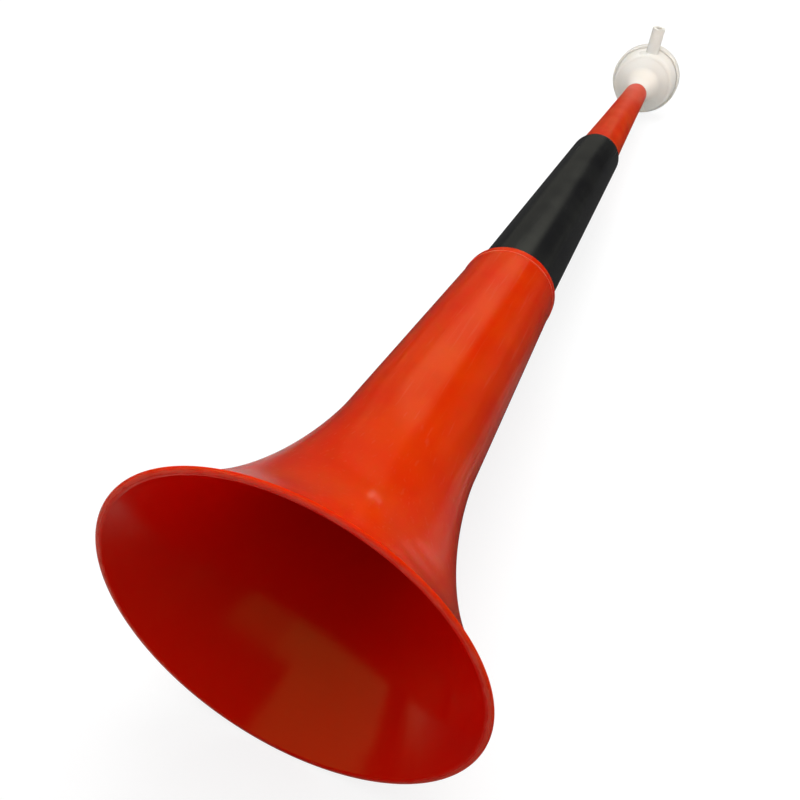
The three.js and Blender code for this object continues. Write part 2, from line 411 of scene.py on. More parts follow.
class TurningTree(Wiring):
    """A Geometry Nodes tree that turns an outline about the horn's axis.

    The outline is a mesh whose points hold the radius as x and the distance along as y. The tree
    makes a grid with one row for each of them and bends it round. It reads the points by number,
    so no corner is lost, and it keeps each point's marks: how worn it is, which on the bell also
    places painted highlights, and whether it takes the lining colour, which is painted shade.
    """

    MARKS = ("wear", "lining")
    INPUTS = {
        "Geometry": "NodeSocketGeometry",
        "Segments": "NodeSocketInt",
        "Radius Share": "NodeSocketFloat",
        "Weld Distance": "NodeSocketFloat",
        "Material": "NodeSocketMaterial",
    }

    def __init__(self) -> None:
        """Builds the tree once."""
        super().__init__(bpy.data.node_groups.new("Turned outline", "GeometryNodeTree"))
        sockets = self.tree.interface
        self.inputs = {
            name: sockets.new_socket(name, in_out="INPUT", socket_type=kind).identifier
            for name, kind in self.INPUTS.items()
        }
        sockets.new_socket("Geometry", in_out="OUTPUT", socket_type="NodeSocketGeometry")
        self._wire()

    def _sampled(self, outline: Socket, row: Socket, value: Socket, kind: str) -> Socket:
        """Reads a value from the outline's point for a row."""
        links = {"Geometry": outline, "Value": value, "Index": row}
        return self.node("GeometryNodeSampleIndex", links, data_type=kind, domain="POINT").outputs[0]

    def _wire(self) -> None:
        """Makes the nodes and their links."""
        given = self.node("NodeGroupInput").outputs
        outline, segments = given["Geometry"], given["Segments"]
        count = self.node("GeometryNodeAttributeDomainSize", {"Geometry": outline}, component="MESH")
        around = self.math("ADD", segments, 1.0)
        size = {"Vertices X": count.outputs["Point Count"], "Vertices Y": around}
        shape = self.node("GeometryNodeMeshGrid", size).outputs["Mesh"]

        index = self.node("GeometryNodeInputIndex").outputs[0]
        row = self.math("FLOOR", self.math("DIVIDE", self.math("ADD", index, 0.5), around))
        column = self.math("SUBTRACT", index, self.math("MULTIPLY", row, around))
        turn = self.math("MULTIPLY", self.math("DIVIDE", column, segments), 2 * math.pi)

        position = self.node("GeometryNodeInputPosition").outputs[0]
        place = self._sampled(outline, row, position, "FLOAT_VECTOR")
        split = self.node("ShaderNodeSeparateXYZ", {0: place}).outputs
        radius = self.math("MULTIPLY", split["X"], given["Radius Share"])
        aside = self.math("MULTIPLY", radius, self.math("SINE", turn))
        up = self.math("MULTIPLY", radius, self.math("COSINE", turn))
        bent = self.node("ShaderNodeCombineXYZ", {"X": aside, "Y": split["Y"], "Z": up}).outputs[0]

        for mark in self.MARKS:
            held = self.node("GeometryNodeInputNamedAttribute", {"Name": mark}, data_type="FLOAT")
            read = self._sampled(outline, row, held.outputs["Attribute"], "FLOAT")
            kept = {"Geometry": shape, "Name": mark, "Value": read}
            store = self.node("GeometryNodeStoreNamedAttribute", kept, data_type="FLOAT", domain="POINT")
            shape = store.outputs[0]
        for kind, links in (
            ("GeometryNodeSetPosition", {"Position": bent}),
            ("GeometryNodeMergeByDistance", {"Distance": given["Weld Distance"]}),
            ("GeometryNodeRealizeInstances", {}),
            ("GeometryNodeSetMaterial", {"Material": given["Material"]}),
        ):
            shape = self.node(kind, {"Geometry": shape, **links}).outputs[0]
        self.node("NodeGroupOutput", {"Geometry": shape})

    def turn(
        self,
        name: str,
        points: list[OutlinePoint],
        segments: int,
        material: bpy.types.Material | None = None,
        **marks: list[float],
    ) -> bpy.types.Mesh:
        """Turns an outline into a mesh with outward faces.

        Args:
            name: The mesh's name.
            points: Outline in millimetres; closed, or with both ends on the axis.
            segments: Facets round the axis.
            material: Material of the whole mesh.
            marks: A number from 0 to 1 for each point, under each mark's name; 0 where none is given.

        Returns:
            The mesh in metres, in the piece's own space.
        """
        outline = bpy.data.meshes.new(name + "_outline")
        steps = [(index, index + 1) for index in range(len(points) - 1)]
        outline.from_pydata([(radius * MM, along * MM, 0.0) for radius, along in points], steps, [])
        for mark in self.MARKS:
            values = marks.get(mark, [0.0] * len(points))
            outline.attributes.new(mark, "FLOAT", "POINT").data.foreach_set("value", values)
        carrier = stood_in_scene(bpy.data.objects.new(name + "_outline", outline))
        modifier = carrier.modifiers.new("Turn", "NODES")
        modifier.node_group = self.tree
        modifier[self.inputs["Segments"]] = segments
        modifier[self.inputs["Radius Share"]] = FLAT_SHARE
        modifier[self.inputs["Weld Distance"]] = WELD_DISTANCE
        modifier[self.inputs["Material"]] = material
        mesh = plain_mesh(carrier, name)
        bpy.data.objects.remove(carrier)
        face_outwards(mesh)
        return mesh


def stood_in_scene(thing: bpy.types.Object) -> bpy.types.Object:
    """Links an object to the scene and gives it back."""
    bpy.context.scene.collection.objects.link(thing)
    return thing


def plain_mesh(carrier: bpy.types.Object, name: str) -> bpy.types.Mesh:
    """Evaluates an object's modifiers.

    Args:
        carrier: The object.
        name: Name of the new mesh.

    Returns:
        A mesh of its own.
    """
    depsgraph = bpy.context.evaluated_depsgraph_get()
    depsgraph.update()
    evaluated = carrier.evaluated_get(depsgraph)
    mesh = bpy.data.meshes.new_from_object(evaluated, preserve_all_data_layers=True, depsgraph=depsgraph)
    mesh.name = name
    return mesh


def face_outwards(mesh: bpy.types.Mesh, recalculated: bool = False) -> None:
    """Turns a closed mesh's faces round if they enclose a negative volume.

    Args:
        mesh: The mesh.
        recalculated: Whether its faces are first made to agree with one another.
    """
    shape = bmesh.new()
    shape.from_mesh(mesh)
    if recalculated:
        bmesh.ops.recalc_face_normals(shape, faces=shape.faces)
    if shape.calc_volume(signed=True) < 0:
        bmesh.ops.reverse_faces(shape, faces=shape.faces)
    shape.to_mesh(mesh)
    shape.free()


def combined(first: bpy.types.Mesh, second: bpy.types.Mesh, operation: str) -> bpy.types.Mesh:
    """Joins or cuts two closed meshes.

    Args:
        first: The mesh that is changed.
        second: The mesh that is added or taken away.
        operation: UNION or DIFFERENCE.

    Returns:
        The result.
    """
    kept = stood_in_scene(bpy.data.objects.new("kept", first))
    tool = stood_in_scene(bpy.data.objects.new("tool", second))
    modifier = kept.modifiers.new("Combine", "BOOLEAN")
    modifier.operation = operation
    modifier.object = tool
    modifier.solver = "EXACT"
    mesh = plain_mesh(kept, first.name)
    bpy.data.objects.remove(kept)
    bpy.data.objects.remove(tool)
    return mesh


# Finishes


class GroupMaker(Wiring):
    """Builds one shader node group with named inputs and outputs."""

    KINDS = {type(None): "NodeSocketVector", float: "NodeSocketFloat", tuple: "NodeSocketColor"}

    def __init__(self, name: str, **inputs: float | tuple) -> None:
        """Opens the group, whose first input is the pattern's vector.

        Args:
            name: The group's name.
            inputs: Default value of each other input; its name has a space for each underscore.
        """
        super().__init__(bpy.data.node_groups.new(name, "ShaderNodeTree"))
        for title, value in {"Vector": None, **inputs}.items():
            socket = self._socket(title.replace("_", " "), "INPUT", self.KINDS[type(value)])
            if value is not None:
                socket.default_value = value
        self.given = self.node("NodeGroupInput").outputs

    def _socket(self, title: str, side: str, kind: str) -> bpy.types.NodeTreeInterfaceSocket:
        """Adds a socket to the group."""
        return self.tree.interface.new_socket(title, in_out=side, socket_type=kind)

    def noised(self, scale: Level, detail: float, roughness: float = 0.5) -> Socket:
        """Adds a noise on the pattern's vector and gives its value."""
        return self.noise(self.given["Vector"], scale, detail, roughness)

    def giving(self, **results: Socket) -> bpy.types.NodeTree:
        """Links results to outputs of the same names.

        Args:
            results: The result under each output's name.

        Returns:
            The finished group.
        """
        for title, result in results.items():
            kind = "NodeSocketColor" if result.type == "RGBA" else "NodeSocketFloat"
            self._socket(title, "OUTPUT", kind)
        self.node("NodeGroupOutput", results)
        return self.tree


class SurfaceKit:
    """The shader node groups that the finishes share."""

    def __init__(self) -> None:
        """Builds every group once."""
        self.drift = self._moulding_drift()
        self.scratches = self._fine_scratches()
        self.dust = self._dust_specks()
        self.wear = self._wear_and_highlight_edges()

    @staticmethod
    def _moulding_drift() -> bpy.types.NodeTree:
        """Slow cloudy change of colour and a shallow unevenness, as moulded plastic has.

        Returns:
            The group.
        """
        greys = {"Colour": (0.5, 0.5, 0.5, 1.0), "Drifted_Colour": (0.4, 0.4, 0.4, 1.0)}
        maker = GroupMaker("Moulding drift", Scale=18.0, **greys)
        clouds = maker.noised(maker.given["Scale"], 3.0, 0.45)
        share = maker.graded(clouds, (0.35, 0.7), (0.0, 1.0))
        mixed = maker.mixed(share, maker.given["Colour"], maker.given["Drifted Colour"])
        return maker.giving(Colour=mixed, Unevenness=clouds)

    @staticmethod
    def _fine_scratches() -> bpy.types.NodeTree:
        """Hairline rubbing marks along the horn, from sliding the sections.

        Returns:
            The group.
        """
        patch_closeness, sharpness = 60.0, 14.0
        maker = GroupMaker("Fine scratches", Closeness=900.0, Stretch=0.02, Rarity=0.62)
        squeeze = maker.node("ShaderNodeCombineXYZ", {"X": 1.0, "Y": maker.given["Stretch"], "Z": 1.0})
        parts = {0: maker.given["Vector"], 1: squeeze.outputs[0]}
        drawn = maker.node("ShaderNodeVectorMath", parts, operation="MULTIPLY").outputs[0]
        lines = maker.noise(drawn, maker.given["Closeness"], 1.0)
        patches = maker.noised(patch_closeness, 2.0)
        thin = maker.math("SUBTRACT", lines, maker.given["Rarity"])
        shown = maker.math("MULTIPLY", maker.math("MULTIPLY", thin, sharpness), patches)
        return maker.giving(Mask=maker.node("ShaderNodeClamp", {"Value": shown}).outputs[0])

    @staticmethod
    def _dust_specks() -> bpy.types.NodeTree:
        """Sparse pale specks of dust that lie on glossy plastic.

        Returns:
            The group.
        """
        maker = GroupMaker("Dust specks", Scale=260.0, Rarity=0.94, Size=0.07)
        pattern = {"Vector": maker.given["Vector"], "Scale": maker.given["Scale"]}
        cells = maker.node("ShaderNodeTexVoronoi", pattern).outputs
        chance = maker.node("ShaderNodeSeparateColor", {0: cells["Color"]}).outputs[0]
        chosen = maker.math("GREATER_THAN", chance, maker.given["Rarity"])
        near = maker.math("LESS_THAN", cells["Distance"], maker.given["Size"])
        return maker.giving(Mask=maker.math("MULTIPLY", chosen, near))

    @staticmethod
    def _wear_and_highlight_edges() -> bpy.types.NodeTree:
        """A broken mask where the piece's wear mark says that an edge is rubbed or has a painted highlight.

        Returns:
            The group.
        """
        maker = GroupMaker("Rubbed edges and painted highlights", Scale=160.0)
        worn = maker.mark("wear")
        raised = maker.math("ADD", worn, maker.noised(maker.given["Scale"], 4.0))
        broken = maker.graded(raised, (0.85, 1.45), (0.0, 1.0))
        return maker.giving(Mask=maker.math("MULTIPLY", broken, worn))


@dataclass(frozen=True)
class PlasticFinish:
    """A moulded plastic.

    Attributes:
        name: The material's name.
        tilt: Turn that lines the pattern up with the horn's axis, in radians.
        colour: Its colour, linear.
        drifted: The colour that it drifts to in clouds.
        lining: Its painted shade where it is marked as lining: deeper red in the bell, dark at an end.
        wear_and_highlight: Colour of rubbed edges, hairlines and the bell's painted highlights.
        cloudiness: How close together the clouds are.
        roughness: Roughness where it is clean.
        roughness_drift: How much that changes between the clouds.
        rubbed_roughness: Roughness of rubbed edges and hairlines.
        gloss_tint: Tint of its gloss where it is looked at squarely.
        hairlines: How much the hairlines show.
        dust: How much the specks show.
        hairline_depth: Depth of the hairlines, in metres.
        wave_depth: Depth of the slow unevenness, in metres.
        scatter: How much of the light spreads inside the plastic.
        scatter_reach: How far red, green and blue light spreads, in metres.
        wear_and_highlight_share: How much of that colour shows.
        dust_colour: The colour of the specks.
        cloud_range: The clouds' values between which the roughness drifts.
    """

    name: str
    tilt: float
    colour: Triple
    drifted: Triple
    lining: Triple
    wear_and_highlight: Triple
    cloudiness: float
    roughness: float
    rubbed_roughness: float
    gloss_tint: Triple
    hairlines: float
    dust: float
    hairline_depth: float
    wave_depth: float
    scatter: float = 0.9
    scatter_reach: Triple = (0.001, 0.001, 0.001)
    roughness_drift: float = 0.05
    wear_and_highlight_share: float = 0.55
    dust_colour: Triple = (0.55, 0.53, 0.5)
    cloud_range: tuple[float, float] = (0.3, 0.7)

    def build(self, kit: SurfaceKit) -> bpy.types.Material:
        """Makes the material.

        Args:
            kit: The shared groups.

        Returns:
            The material.
        """
        material = bpy.data.materials.new(self.name)
        wiring = Wiring.emptied(material)
        place = wiring.node("ShaderNodeTexCoord").outputs["Object"]
        lines = {"Vector": place, "Rotation": (self.tilt, 0.0, 0.0)}
        at = {"Vector": wiring.node("ShaderNodeMapping", lines).outputs[0]}
        colours = {"Colour": (*self.colour, 1.0), "Drifted Colour": (*self.drifted, 1.0)}
        drift = wiring.group(kit.drift, {**at, **colours, "Scale": self.cloudiness})
        clouds = drift["Unevenness"]
        # The lining mark gives painted shade: the bell's deeper red inside, the top section's dark end.
        inside = wiring.mark("lining")
        plain = wiring.mixed(inside, drift["Colour"], (*self.lining, 1.0))

        shown = wiring.graded(inside, (0.0, 1.0), (self.hairlines, 0.0))
        hairs = wiring.math("MULTIPLY", wiring.group(kit.scratches, at)["Mask"], shown)
        dusty = wiring.math("MULTIPLY", wiring.group(kit.dust, at)["Mask"], self.dust)
        wear_and_highlight = wiring.math("MAXIMUM", hairs, wiring.group(kit.wear, at)["Mask"])
        faint = wiring.math("MULTIPLY", wear_and_highlight, self.wear_and_highlight_share)
        coloured = wiring.mixed(faint, plain, (*self.wear_and_highlight, 1.0))

        smoothest, roughest = self.roughness - self.roughness_drift, self.roughness + self.roughness_drift
        clean = wiring.graded(clouds, self.cloud_range, (smoothest, roughest))
        dull = wiring.math("MAXIMUM", wear_and_highlight, dusty)
        grooves = wiring.math("MULTIPLY", hairs, -self.hairline_depth)
        height = wiring.math("MULTIPLY_ADD", clouds, self.wave_depth, grooves)
        wiring.surface(
            {
                "Base Color": wiring.mixed(dusty, coloured, (*self.dust_colour, 1.0)),
                "Roughness": wiring.graded(dull, (0.0, 1.0), (clean, self.rubbed_roughness)),
                "Normal": wiring.node("ShaderNodeBump", {"Distance": 1.0, "Height": height}).outputs[0],
                "Subsurface Weight": self.scatter,
                "Subsurface Radius": self.scatter_reach,
                "Subsurface Scale": 1.0,
                "Specular Tint": (*self.gloss_tint, 1.0),
            }
        )
        return material


@dataclass(frozen=True)
class FilmFinish:
    """The thin clear film: see-through, glossy, whiter where it is creased.

    Attributes:
        name: The material's name.
        colour: Its tint, linear.
        drifted_share: What its tint keeps in clouds.
        clear_alpha: How solid it looks where it is smooth.
        creased_alpha: How solid it looks in a crease.
        roughness: Its roughness.
    """

    name: str = "clear_film"
    colour: Triple = (0.8, 0.82, 0.83)
    drifted_share: float = 0.92
    clear_alpha: float = 0.22
    creased_alpha: float = 0.6
    roughness: float = 0.12

    def build(self, kit: SurfaceKit) -> bpy.types.Material:
        """Makes the material.

        Args:
            kit: The shared groups.

        Returns:
            The material.
        """
        material = bpy.data.materials.new(self.name)
        wiring = Wiring.emptied(material)
        at = {"Vector": wiring.node("ShaderNodeTexCoord").outputs["Object"]}
        alpha = wiring.graded(wiring.mark("wear"), (0.0, 1.0), (self.clear_alpha, self.creased_alpha))
        solid = wiring.math("MAXIMUM", alpha, wiring.group(kit.dust, at)["Mask"])
        drifted = (*(self.drifted_share * part for part in self.colour), 1.0)
        colours = {"Colour": (*self.colour, 1.0), "Drifted Colour": drifted}
        colour = wiring.group(kit.drift, {**at, **colours})["Colour"]
        wiring.surface({"Base Color": colour, "Roughness": self.roughness, "Alpha": solid})
        return material


@dataclass(frozen=True)
class Finishes:
    """The materials of the horn."""

    red: bpy.types.Material
    handled_red: bpy.types.Material
    black: bpy.types.Material
    white: bpy.types.Material
    film: bpy.types.Material

    @classmethod
    def for_horn(cls, lie: HornLie) -> "Finishes":
        """Builds every finish.

        Args:
            lie: Where the horn lies, which lines the hairlines up with it.

        Returns:
            The materials.
        """
        red = PlasticFinish(
            "red_moulded_plastic",
            math.asin(-lie.along.z),
            colour=(0.7, 0.038, 0.0006),
            drifted=(0.66, 0.02, 0.0004),
            # Painted shade: the deeper red of the bell's shaded inside.
            lining=(0.68, 0.005, 0.0004),
            # Pale pink: rubbed edges and hairlines, also painted highlights on the bell's lip and collar
            # step.
            wear_and_highlight=(0.74, 0.15, 0.1),
            cloudiness=34.0,
            roughness=0.16,
            rubbed_roughness=0.38,
            gloss_tint=(1.0, 1.0, 0.2),
            hairlines=0.2,
            dust=0.04,
            hairline_depth=0.000006,
            wave_depth=0.00016,
            scatter_reach=(0.006, 0.0004, 0.0003),
        )
        handled_red = replace(
            red,
            name="red_handled_plastic",
            colour=(0.6, 0.034, 0.0006),
            drifted=(0.54, 0.018, 0.0004),
            # Painted shade: a near-black band at the narrow end, for the shadow gap at the neck.
            lining=(0.06, 0.006, 0.005),
            cloudiness=60.0,
            roughness=0.4,
            rubbed_roughness=0.5,
            gloss_tint=(1.0, 1.0, 0.5),
            hairlines=0.05,
            hairline_depth=0.0,
        )
        black = PlasticFinish(
            "black_moulded_plastic",
            red.tilt,
            colour=(0.009, 0.009, 0.01),
            drifted=(0.015, 0.0155, 0.015),
            lining=(0.009, 0.009, 0.01),
            wear_and_highlight=(0.035, 0.035, 0.034),
            cloudiness=45.0,
            roughness=0.2,
            rubbed_roughness=0.4,
            gloss_tint=(0.97, 1.0, 0.97),
            hairlines=0.3,
            dust=0.08,
            hairline_depth=0.000012,
            wave_depth=0.00012,
            scatter=0.0,
        )
        white = PlasticFinish(
            "white_moulded_plastic",
            red.tilt,
            colour=(0.81, 0.78, 0.72),
            drifted=(0.79, 0.725, 0.655),
            lining=(0.81, 0.78, 0.72),
            wear_and_highlight=(0.7, 0.68, 0.6),
            cloudiness=40.0,
            roughness=0.3,
            roughness_drift=0.04,
            rubbed_roughness=0.45,
            gloss_tint=(1.0, 1.0, 1.0),
            hairlines=0.05,
            dust=0.06,
            hairline_depth=0.000006,
            wave_depth=0.00006,
            scatter_reach=(0.003, 0.0028, 0.0025),
        )
        kit = SurfaceKit()
        return cls(*(finish.build(kit) for finish in (red, handled_red, black, white, FilmFinish())))


# Pieces


@dataclass(kw_only=True)
class SubAssembly:
    """What every sub-assembly shares.

    Attributes:
        lie: Where the horn lies.
        turning: The tree that turns outlines.
        finishes: The materials.
        origin: Distance of the sub-assembly's own origin from the rim's plane, in millimetres.
    """

    lie: HornLie
    turning: TurningTree
    finishes: Finishes
    origin: float = 0.0

    def settled(
        self,
        node: str,
        mesh: bpy.types.Mesh,
        body: Body,
        slot: Slot,
        material: bpy.types.Material,
        sharp_from: float = 32.0,
        distance: float = 0.0,
    ) -> bpy.types.Object:
        """Lays a mesh where it belongs, and makes it a piece that stands for its CAD node.

        Args:
            node: The CAD node, whose name and "_fine" name the piece.
            mesh: Its mesh in the piece's own space.
            body: The body that carries it.
            slot: The record's slot; not used.
            material: Its material.
            sharp_from: Angle from which an edge is shaded sharp, in degrees.
            distance: Distance of the piece's space from the sub-assembly's origin, in millimetres.

        Returns:
            The piece.
        """
        mesh.transform(self.lie.placed(self.origin + distance))
        mesh.materials.clear()
        mesh.materials.append(material)
        mesh.shade_smooth()
        mesh.set_sharp_from_angle(angle=math.radians(sharp_from))
        piece = stood_in_scene(bpy.data.objects.new(node + "_fine", mesh))
        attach(piece, body.value)
        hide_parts(node)
        log.info("%s: %d faces on body %s", piece.name, len(mesh.polygons), body.value)
        return piece


@dataclass(kw_only=True)
class BellSection(SubAssembly):
    """The red flared section, from its thick lip to the collar round the middle section."""

    rim_radius: float = 60.0
    length: float = 202.0
    wall: float = 2.0
    flare_length: float = 85.0
    flare_steps: int = 56
    throat_radius: float = 25.9
    handle_length: float = 30.5
    end_radius: float = 20.8
    end_round: float = 1.0
    end_round_length: float = 1.3
    lip_thickness: float = 2.8
    lip_round: float = 0.9
    lip_blend: float = 1.4
    collar_length: float = 5.0
    collar_height: float = 0.32
    collar_rounds: Triple = (0.12, 0.2, 0.3)
    # The lip, collar step and collar end take the rubbed colour, partly as painted highlights.
    wear_and_highlight_inset: float = 1.0
    wear_and_highlight_reaches: Triple = (2.0, 1.1, 2.0)
    segments: int = 216

    def build(self) -> bpy.types.Object:
        """Builds and dresses the section.

        Returns:
            The piece.
        """
        taper = (self.throat_radius - self.end_radius) / (self.length - self.flare_length)
        handle = (self.throat_radius + taper * (self.flare_length - self.handle_length), self.handle_length)
        throat = (self.throat_radius, self.flare_length)
        flare = bezier([(self.rim_radius, self.lip_round), handle, throat, throat], self.flare_steps)
        lining = [point for point in walled(flare, self.wall) if point[1] > self.lip_thickness / 2]
        (near_radius, near_along), (far_radius, far_along) = lining[:2]
        slope = (near_radius - far_radius) / (far_along - near_along)
        collar_start = self.length - self.collar_length
        start_radius = self.end_radius + taper * self.collar_length
        shoulder = (start_radius + self.collar_height, collar_start + self.collar_height)
        collar_radius = self.end_radius + self.collar_height
        inner_end = (self.end_radius - self.wall, self.length)
        foot_round, shoulder_round, bore_round = self.collar_rounds
        points = outlined(
            [
                *quarter(
                    (self.rim_radius - self.lip_round, self.lip_round),
                    (0.0, -self.lip_round),
                    (self.lip_round, 0.0),
                ),
                *plainly(flare[1:]),
                (start_radius, collar_start, foot_round),
                (*shoulder, shoulder_round),
                *quarter(
                    (collar_radius - self.end_round, self.length - self.end_round_length),
                    (self.end_round, 0.0),
                    (0.0, self.end_round_length),
                ),
                (*inner_end, bore_round),
                *plainly(lining[::-1]),
                (near_radius + slope * near_along, 0.0, self.lip_blend),
            ]
        )
        # Rubbed edges; on the lip and the collar step their pale pink is also a painted highlight.
        wear_and_highlight = ((self.rim_radius - self.wear_and_highlight_inset, 0.0), shoulder, (collar_radius, self.length))
        edges = [(*place, reach) for place, reach in zip(wear_and_highlight, self.wear_and_highlight_reaches)]
        # The lining mark paints the bell's inside its deeper red, as painted shade.
        marks = {"wear": wear_near(points, edges), "lining": lined_from(points, inner_end)}
        red = self.finishes.red
        mesh = self.turning.turn("bell_section", points, self.segments, red, **marks)
        return self.settled("bell_section", mesh, Body.BELL, Slot.RED, red)


@dataclass(kw_only=True)
class NestedSection(SubAssembly):
    """A section whose wide end wedges in the section below it.

    Attributes:
        mouth_radius: Outside radius where it leaves that section.
        reach: Length that stands out of it.
        seat_length: Length inside it.
        seat_taper: How fast the seat widens towards its end.
        wall: Thickness.
        end_radius: Outside radius of the narrow end.
        lead_length: Length of the slope that leads the wide end in.
        lead_depth: How much that slope takes off the radius.
        edge_rounds: Rounding of the wide end's edges, of the slope's top and of the narrow bore.
        rubbed_edge: Distance along and reach of the rubbed edge of the wide end.
        segments: Facets round the axis.
    """

    mouth_radius: float
    reach: float
    seat_length: float
    seat_taper: float
    wall: float
    end_radius: float
    lead_length: float = 1.5
    lead_depth: float = 0.5
    edge_rounds: Triple = (0.25, 0.8, 0.12)
    rubbed_edge: tuple[float, float] = (0.5, 2.0)
    segments: int

    @property
    def length(self) -> float:
        """Its whole length."""
        return self.seat_length + self.reach

    @property
    def seat_radius(self) -> float:
        """Outside radius of the wide end."""
        return self.mouth_radius + self.seat_taper * self.seat_length

    def _outline(self, outside: list[Corner], inside: list[Corner]) -> list[OutlinePoint]:
        """Closes an outline with the seat and its lead-in.

        Args:
            outside: Corners from the mouth to the end's face.
            inside: Corners from there back to the mouth.

        Returns:
            The outline's points.
        """
        wide_round, lead_round, end_round = self.edge_rounds
        start = (self.seat_radius - self.lead_depth, 0.0, wide_round)
        lead_radius = self.seat_radius - self.seat_taper * self.lead_length
        lead = (lead_radius, self.lead_length, lead_round)
        end = (self.end_radius - self.wall, self.length, end_round)
        last = (self.seat_radius - self.wall, 0.0, wide_round)
        return outlined([start, lead, *outside, end, *inside, last])

    def _worn(self, points: list[OutlinePoint]) -> list[float]:
        """Marks the edge of the wide end as rubbed."""
        return wear_near(points, [(self.seat_radius, *self.rubbed_edge)])


@dataclass(kw_only=True)
class MiddleSection(NestedSection):
    """The black section, a plain cone with a rounded narrow end."""

    mouth_radius: float = 18.5
    reach: float = 167.5
    seat_length: float = 22.0
    seat_taper: float = 5.1 / 117
    wall: float = 1.4
    end_radius: float = 14.1
    end_round_length: float = 2.0
    end_round_depth: float = 1.1
    segments: int = 192

    def build(self) -> bpy.types.Object:
        """Builds and dresses the section.

        Returns:
            The piece.
        """
        taper = (self.mouth_radius - self.end_radius) / self.reach
        round_start = self.length - self.end_round_length
        outside = [
            (self.mouth_radius, self.seat_length, 0.0),
            (self.end_radius + taper * self.end_round_length, round_start, 0.0),
            *quarter(
                (self.end_radius - self.end_round_depth, round_start),
                (self.end_round_depth, 0.0),
                (0.0, self.end_round_length),
            )[1:],
        ]
        points = self._outline(outside, [(self.mouth_radius - self.wall, self.seat_length, 0.0)])
        black, worn = self.finishes.black, self._worn(points)
        mesh = self.turning.turn("middle_section", points, self.segments, black, wear=worn)
        return self.settled("middle_section", mesh, Body.MIDDLE, Slot.BLACK, black)


@dataclass(kw_only=True)
class TopSection(NestedSection):
    """The red section that carries the mouthpiece, drawn in a little between its ends."""

    mouth_radius: float = 12.4
    reach: float = 123.5
    seat_length: float = 20.0
    seat_taper: float = 4.4 / 167.5
    wall: float = 1.3
    end_radius: float = 7.55
    end_round: float = 0.9
    hollow: float = 0.35
    curve_steps: int = 40
    # Length of the painted shade band at the narrow end, a dark line for the shadow gap at the neck.
    painted_shade_reach: float = 1.0
    segments: int = 160

    def build(self) -> bpy.types.Object:
        """Builds and dresses the section.

        Returns:
            The piece.
        """
        halfway = (self.mouth_radius + self.end_radius) / 2 - self.hollow
        round_start = self.length - self.end_round
        curve = bezier(
            [
                (self.mouth_radius, self.seat_length),
                (halfway, self.seat_length + self.reach / 2),
                (self.end_radius, round_start),
            ],
            self.curve_steps,
        )
        rounded = quarter(
            (self.end_radius - self.end_round, round_start), (self.end_round, 0.0), (0.0, self.end_round)
        )
        inside = [(radius - self.wall, along) for radius, along in reversed(curve)]
        points = self._outline([*plainly(curve), *rounded[1:]], plainly(inside))
        # Painted shade: the narrow end's last part takes the near-black lining colour.
        painted_shade_band = [float(along > self.length - self.painted_shade_reach) for _, along in points]
        marks = {"wear": self._worn(points), "lining": painted_shade_band}
        red = self.finishes.handled_red
        mesh = self.turning.turn("top_section", points, self.segments, red, **marks)
        return self.settled("top_section", mesh, Body.TOP, Slot.RED, red)


